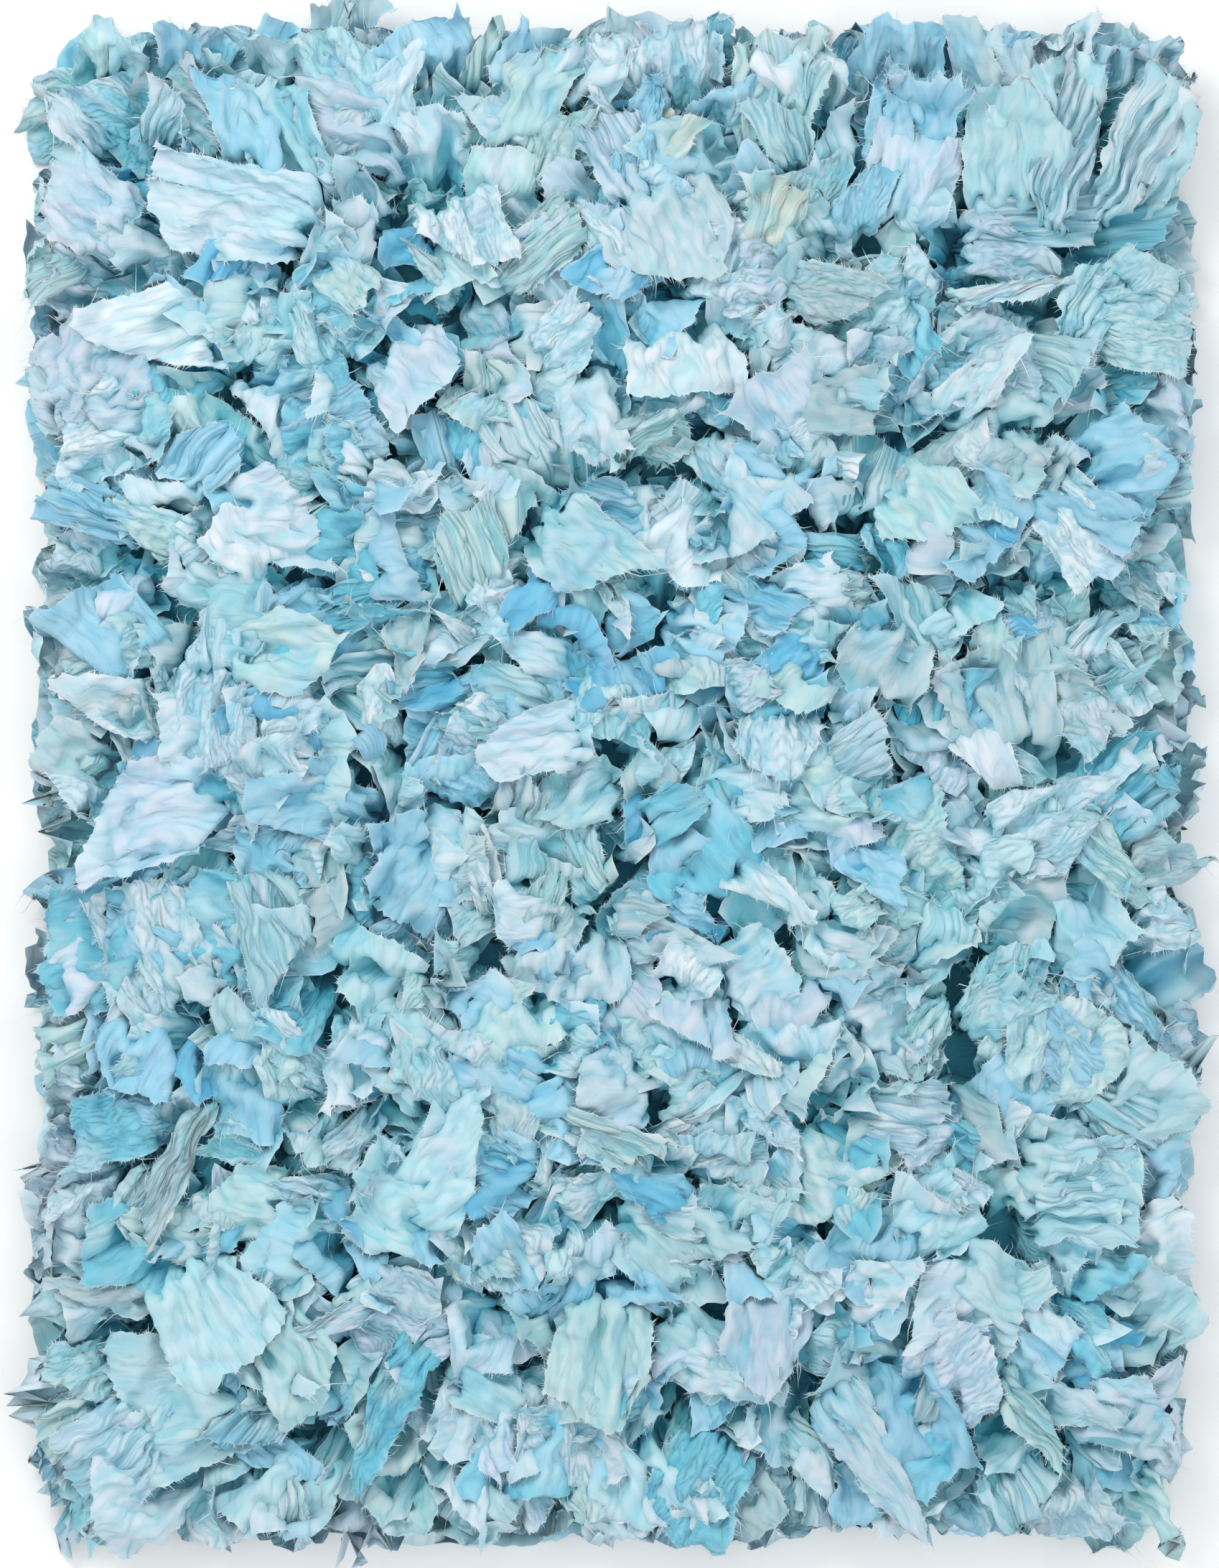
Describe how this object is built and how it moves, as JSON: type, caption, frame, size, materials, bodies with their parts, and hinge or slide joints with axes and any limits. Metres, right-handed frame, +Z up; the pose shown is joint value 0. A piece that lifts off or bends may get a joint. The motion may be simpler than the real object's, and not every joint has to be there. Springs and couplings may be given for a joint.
{
  "type": "shag rug",
  "caption": "Small rectangular shag rug: a flat woven ground that holds a deep, uneven pile of torn, crinkled cotton rags, pale blue to turquoise, for laying on a floor.",
  "frame": {"origin": "on the floor, under the middle of the rug's outline", "axes": "+X along the short side, +Y along the long side, +Z up out of the pile"},
  "size_m": [0.7498, 0.977, 0.0545],
  "materials": {
    "rag_cloth": "crinkled, pleated and torn cotton, dyed in patches from ice blue to turquoise",
    "ground_cloth": "plain ribbed cotton weave, undyed"
  },
  "bodies": {
    "root": {"ground_weave": "ground_cloth", "rag_pile": "rag_cloth"}
  },
  "joints": []
}
